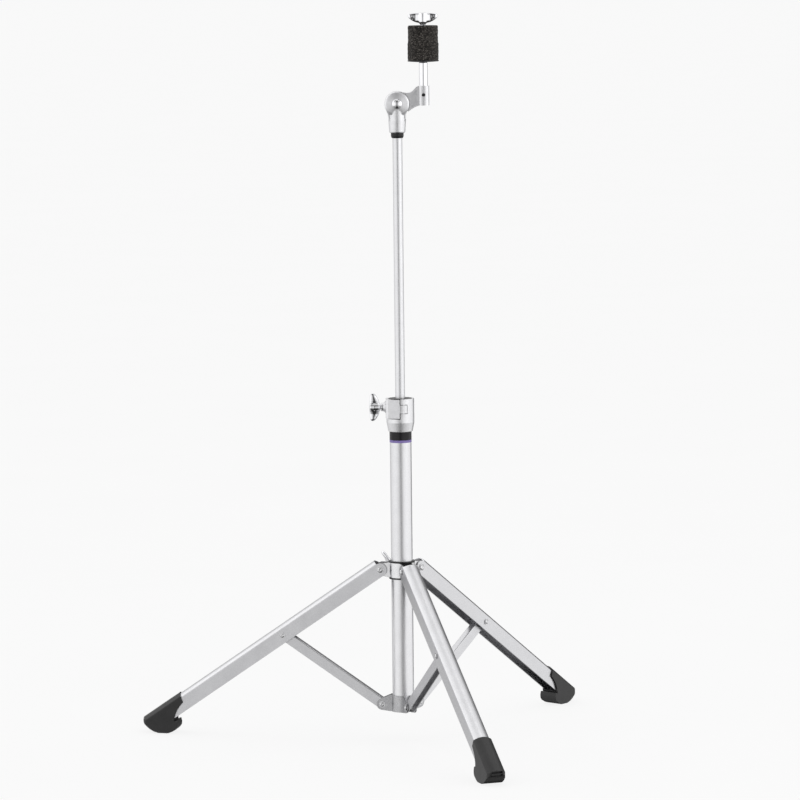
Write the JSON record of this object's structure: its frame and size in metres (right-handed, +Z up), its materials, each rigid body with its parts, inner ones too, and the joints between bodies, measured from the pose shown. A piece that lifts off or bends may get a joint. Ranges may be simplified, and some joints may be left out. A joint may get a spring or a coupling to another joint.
{
  "type": "straight cymbal stand",
  "caption": "Folding straight cymbal stand: tripod on a sliding hub, two-section mast with a hinged clamp, small tilter, felts and a wing nut.",
  "frame": {"origin": "middle of the stand's bounding box, on the floor", "axes": "+Z up along the mast; -Y is the side with the forward leg and the tilter's cap; +X is the side the tilter's rod is on"},
  "size_m": [0.5892, 0.6124, 0.9645],
  "materials": {
    "satin_aluminium": "satin silver",
    "cast_alloy": "fine-grained casting, lightly polished",
    "stamped_steel": "zinc-plated stamping",
    "rivet_steel": "plated, smooth",
    "chrome": "mirror chrome",
    "black_nylon": "matte black nylon",
    "black_steel": "black oxide",
    "rubber": "matte black rubber",
    "felt": "dense grey-brown felt",
    "label_black": "glossy black film",
    "label_purple": "glossy purple film"
  },
  "bodies": {
    "mast": {"base_tube": "satin_aluminium", "tube_end_plug": "black_nylon", "label_band": "label_black", "label_stripe": "label_purple", "clamp_collar": "cast_alloy", "clamp_hinge_pin": "rivet_steel", "clamp_bushing": "black_nylon", "lower_band_front_right": "stamped_steel", "lower_band_rear": "stamped_steel", "lower_band_front_left": "stamped_steel", "lower_rivet_front": "rivet_steel", "lower_rivet_right": "rivet_steel", "lower_rivet_left": "rivet_steel"},
    "clamp_jaw": {"clamp_jaw": "cast_alloy"},
    "clamp_screw": {"clamp_wing_screw": "chrome"},
    "brace_front": {"brace_front": "satin_aluminium"},
    "brace_right": {"brace_right": "satin_aluminium"},
    "brace_left": {"brace_left": "satin_aluminium"},
    "leg_front": {"leg_front": "satin_aluminium", "foot_front": "rubber", "mid_rivet_front": "rivet_steel", "hub_rivet_front": "rivet_steel"},
    "leg_right": {"leg_right": "satin_aluminium", "foot_right": "rubber", "mid_rivet_right": "rivet_steel", "hub_rivet_right": "rivet_steel"},
    "leg_left": {"leg_left": "satin_aluminium", "foot_left": "rubber", "mid_rivet_left": "rivet_steel", "hub_rivet_left": "rivet_steel"},
    "hub": {"hub_band_front_right": "stamped_steel", "hub_band_rear": "stamped_steel", "hub_band_front_left": "stamped_steel", "hub_liner": "black_nylon"},
    "hub_screw": {"hub_wing_screw": "chrome"},
    "upper_tube": {"upper_tube": "satin_aluminium", "upper_tube_guide": "black_nylon", "tilter_ring": "black_nylon"},
    "tilter_post": {"tilter_base": "cast_alloy", "tilter_washer": "black_nylon", "tilter_bolt": "rivet_steel", "tilter_cap": "chrome"},
    "tilter_arm": {"tilter_arm": "cast_alloy", "rod_set_screw": "black_steel", "tilter_rod": "chrome", "cup_washer": "black_steel", "lower_felt": "felt", "felt_sleeve": "black_nylon"},
    "tilter_nut": {"tilter_wing_nut": "chrome"},
    "upper_felt": {"upper_felt": "felt"},
    "top_nut": {"top_wing_nut": "chrome"}
  },
  "joints": [
    {"name": "fold", "type": "hinge", "parent": "mast", "child": "brace_front", "pos_m": [0.065, 0.00593, 0.0456], "axis": [-0.9444, -0.3289, 0], "range_deg": [0, 53]},
    {"name": "fold_brace_right", "type": "hinge", "parent": "mast", "child": "brace_right", "pos_m": [0.07392, 0.05272, 0.0456], "axis": [0.757, -0.6534, 0], "range_deg": [0, 53]},
    {"name": "fold_brace_left", "type": "hinge", "parent": "mast", "child": "brace_left", "pos_m": [0.02894, 0.03706, 0.0456], "axis": [0.1874, 0.9823, 0], "range_deg": [0, 53]},
    {"name": "fold_leg_front", "type": "hinge", "parent": "brace_front", "child": "leg_front", "pos_m": [0.10912, -0.12077, 0.1364], "axis": [0.9444, 0.3289, 0], "range_deg": [0, 106]},
    {"name": "fold_leg_right", "type": "hinge", "parent": "brace_right", "child": "leg_right", "pos_m": [0.16159, 0.15428, 0.1364], "axis": [-0.757, 0.6534, 0], "range_deg": [0, 106]},
    {"name": "fold_leg_left", "type": "hinge", "parent": "brace_left", "child": "leg_left", "pos_m": [-0.10285, 0.0622, 0.1364], "axis": [-0.1874, -0.9823, 0], "range_deg": [0, 106]},
    {"name": "fold_hub", "type": "hinge", "parent": "leg_front", "child": "hub", "pos_m": [0.065, 0.00593, 0.2272], "axis": [-0.9444, -0.3289, 0], "range_deg": [0, 53]},
    {"name": "hub_screw_turn", "type": "hinge", "parent": "hub", "child": "hub_screw", "pos_m": [0.0428, 0.06968, 0.2285], "axis": [-0.3289, 0.9444, 0], "range_deg": [0, 360]},
    {"name": "clamp_jaw_open", "type": "hinge", "parent": "mast", "child": "clamp_jaw", "pos_m": [0.06025, 0.0175, 0.4417], "axis": [0, 0, 1], "range_deg": [0, 2]},
    {"name": "clamp_screw_turn", "type": "hinge", "parent": "clamp_jaw", "child": "clamp_screw", "pos_m": [0.02595, 0.0459, 0.4428], "axis": [-1, 0, 0], "range_deg": [0, 360]},
    {"name": "height", "type": "slide", "parent": "mast", "child": "upper_tube", "axis": [0, 0, 1], "range_m": [-0.33, 0.02]},
    {"name": "swivel", "type": "hinge", "parent": "upper_tube", "child": "tilter_post", "pos_m": [0.05595, 0.0319, 0.807], "axis": [0, 0, 1], "continuous": true},
    {"name": "tilt", "type": "hinge", "parent": "tilter_post", "child": "tilter_arm", "pos_m": [0.05595, 0.0319, 0.8452], "axis": [0, 1, 0], "range_deg": [-95, 10]},
    {"name": "tilter_nut_turn", "type": "hinge", "parent": "tilter_post", "child": "tilter_nut", "pos_m": [0.05595, 0.0509, 0.8452], "axis": [0, 1, 0], "range_deg": [0, 360]},
    {"name": "upper_felt_lift", "type": "slide", "parent": "tilter_arm", "child": "upper_felt", "axis": [0, 0, 1], "range_m": [0, 0.00625]},
    {"name": "top_nut_turn", "type": "hinge", "parent": "upper_felt", "child": "top_nut", "pos_m": [0.09095, 0.0319, 0.957], "axis": [0, 0, 1], "range_deg": [0, 1800]}
  ],
  "couplings": [
    {"joint": "fold_brace_right", "follows": "fold", "ratio": 1},
    {"joint": "fold_brace_left", "follows": "fold", "ratio": 1},
    {"joint": "fold_leg_front", "follows": "fold", "ratio": 2},
    {"joint": "fold_leg_right", "follows": "fold", "ratio": 2},
    {"joint": "fold_leg_left", "follows": "fold", "ratio": 2},
    {"joint": "fold_hub", "follows": "fold", "ratio": 1},
    {"joint": "clamp_jaw_open", "follows": "clamp_screw_turn", "ratio": 0.0055555},
    {"joint": "top_nut_turn", "follows": "upper_felt_lift", "rad_per_m": 5026.5}
  ]
}
